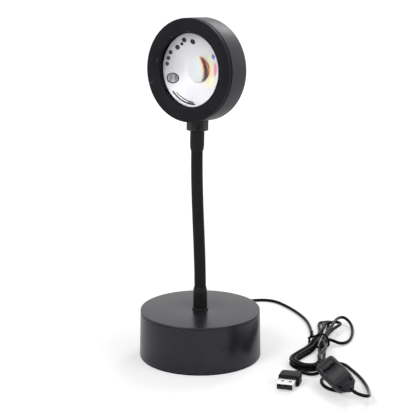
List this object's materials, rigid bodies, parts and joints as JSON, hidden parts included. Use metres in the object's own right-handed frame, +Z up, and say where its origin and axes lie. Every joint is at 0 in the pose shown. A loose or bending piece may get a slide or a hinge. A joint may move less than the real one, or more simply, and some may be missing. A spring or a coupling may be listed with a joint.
{
  "type": "sunset projection lamp",
  "caption": "Small black gooseneck lamp whose round drum head holds a projection lens, on a heavy disc base, with a tied USB cord and in-line switch.",
  "frame": {"origin": "centre of the base at the surface it stands on", "axes": "+Z up; -Y towards the front, from where the lamp is seen; +X to the viewer's right"},
  "size_m": [0.168, 0.2338, 0.2553],
  "materials": {
    "satin_black_metal": "satin black coat",
    "head_black": "matte black coat",
    "bare_steel": "plain",
    "dark_screw": "black oxide",
    "iron": "raw",
    "foot_rubber": "matte",
    "sleeve_black": "satin",
    "neck_black": "matte black coat",
    "cord_black": "satin",
    "tie_black": "satin",
    "board_white": "white mask",
    "led_yellow": "gloss",
    "holder_white": "satin white",
    "filter_film": "dichroic",
    "lens_glass": "polished",
    "switch_black": "fine satin",
    "button_black": "matte",
    "board_green": "solder mask",
    "usb_steel": "bright plated",
    "usb_tongue": "white",
    "contact_gold": "gold plated"
  },
  "bodies": {
    "base": {"base_shell": "satin_black_metal", "base_plate": "bare_steel", "base_weight": "iron", "base_screws": "bare_steel", "foot_pad": "foot_rubber", "cord_grommet": "foot_rubber", "lower_ferrule": "satin_black_metal", "stem_nut": "bare_steel", "foot_collar": "satin_black_metal", "lower_sleeve": "sleeve_black", "neck_root": "neck_black", "neck_wire_0": "cord_black", "switch_lower": "switch_black", "switch_upper": "switch_black", "switch_board": "board_green", "relief_near": "switch_black", "relief_far": "switch_black", "usb_overmold": "switch_black", "usb_shell": "usb_steel", "usb_tongue": "usb_tongue", "usb_contacts": "contact_gold", "plug_relief": "switch_black", "cord_hank": "cord_black", "cord_lead": "cord_black", "cord_bight": "cord_black", "cord_tail": "cord_black", "cord_tie": "tie_black", "base_lead": "cord_black"},
    "link_1": {"neck_link_1": "neck_black", "neck_wire_1": "cord_black"},
    "link_2": {"neck_link_2": "neck_black", "neck_wire_2": "cord_black"},
    "link_3": {"neck_link_3": "neck_black", "neck_wire_3": "cord_black"},
    "link_4": {"neck_link_4": "neck_black", "neck_wire_4": "cord_black"},
    "link_5": {"neck_link_5": "neck_black", "neck_wire_5": "cord_black"},
    "link_6": {"neck_link_6": "neck_black", "neck_wire_6": "cord_black"},
    "link_7": {"neck_link_7": "neck_black", "neck_wire_7": "cord_black"},
    "head": {"neck_crown": "neck_black", "neck_wire_8": "cord_black", "upper_ferrule": "satin_black_metal", "upper_sleeve": "sleeve_black", "hex_fitting": "satin_black_metal", "set_screw": "dark_screw", "head_housing": "head_black", "head_lock_nut": "bare_steel", "led_board": "board_white", "led_chip": "led_yellow", "board_screws": "bare_steel", "lens_holder": "holder_white", "colour_filter": "filter_film", "lens_gasket": "foot_rubber", "lens": "lens_glass", "front_bezel": "head_black", "head_lead": "cord_black"},
    "button": {"switch_button": "button_black"}
  },
  "joints": [
    {"name": "neck_bend_1", "type": "hinge", "parent": "base", "child": "link_1", "pos_m": [-0.00003, 0, 0.06047], "axis": [1, 0, 0], "range_deg": [-20, 20]},
    {"name": "neck_bend_2", "type": "hinge", "parent": "link_1", "child": "link_2", "pos_m": [-0.00026, 0.00005, 0.07342], "axis": [0, 1, 0], "range_deg": [-20, 20]},
    {"name": "neck_bend_3", "type": "hinge", "parent": "link_2", "child": "link_3", "pos_m": [-0.00064, 0.00017, 0.08637], "axis": [1, 0, 0], "range_deg": [-20, 20]},
    {"name": "neck_bend_4", "type": "hinge", "parent": "link_3", "child": "link_4", "pos_m": [-0.0011, 0.00037, 0.09932], "axis": [0, 1, 0], "range_deg": [-20, 20]},
    {"name": "neck_bend_5", "type": "hinge", "parent": "link_4", "child": "link_5", "pos_m": [-0.00157, 0.00069, 0.11226], "axis": [1, 0, 0], "range_deg": [-20, 20]},
    {"name": "neck_bend_6", "type": "hinge", "parent": "link_5", "child": "link_6", "pos_m": [-0.00196, 0.00114, 0.1252], "axis": [0, 1, 0], "range_deg": [-20, 20]},
    {"name": "neck_bend_7", "type": "hinge", "parent": "link_6", "child": "link_7", "pos_m": [-0.00221, 0.00175, 0.13813], "axis": [1, 0, 0], "range_deg": [-20, 20]},
    {"name": "neck_bend_8", "type": "hinge", "parent": "link_7", "child": "head", "pos_m": [-0.00224, 0.00253, 0.15105], "axis": [0, 1, 0], "range_deg": [-20, 20]},
    {"name": "switch_press", "type": "slide", "parent": "base", "child": "button", "axis": [-0.5509, -0.2064, 0.8087], "range_m": [-0.0012, 0], "stiffness_N_per_m": 400, "springref_m": 0.0012}
  ]
}
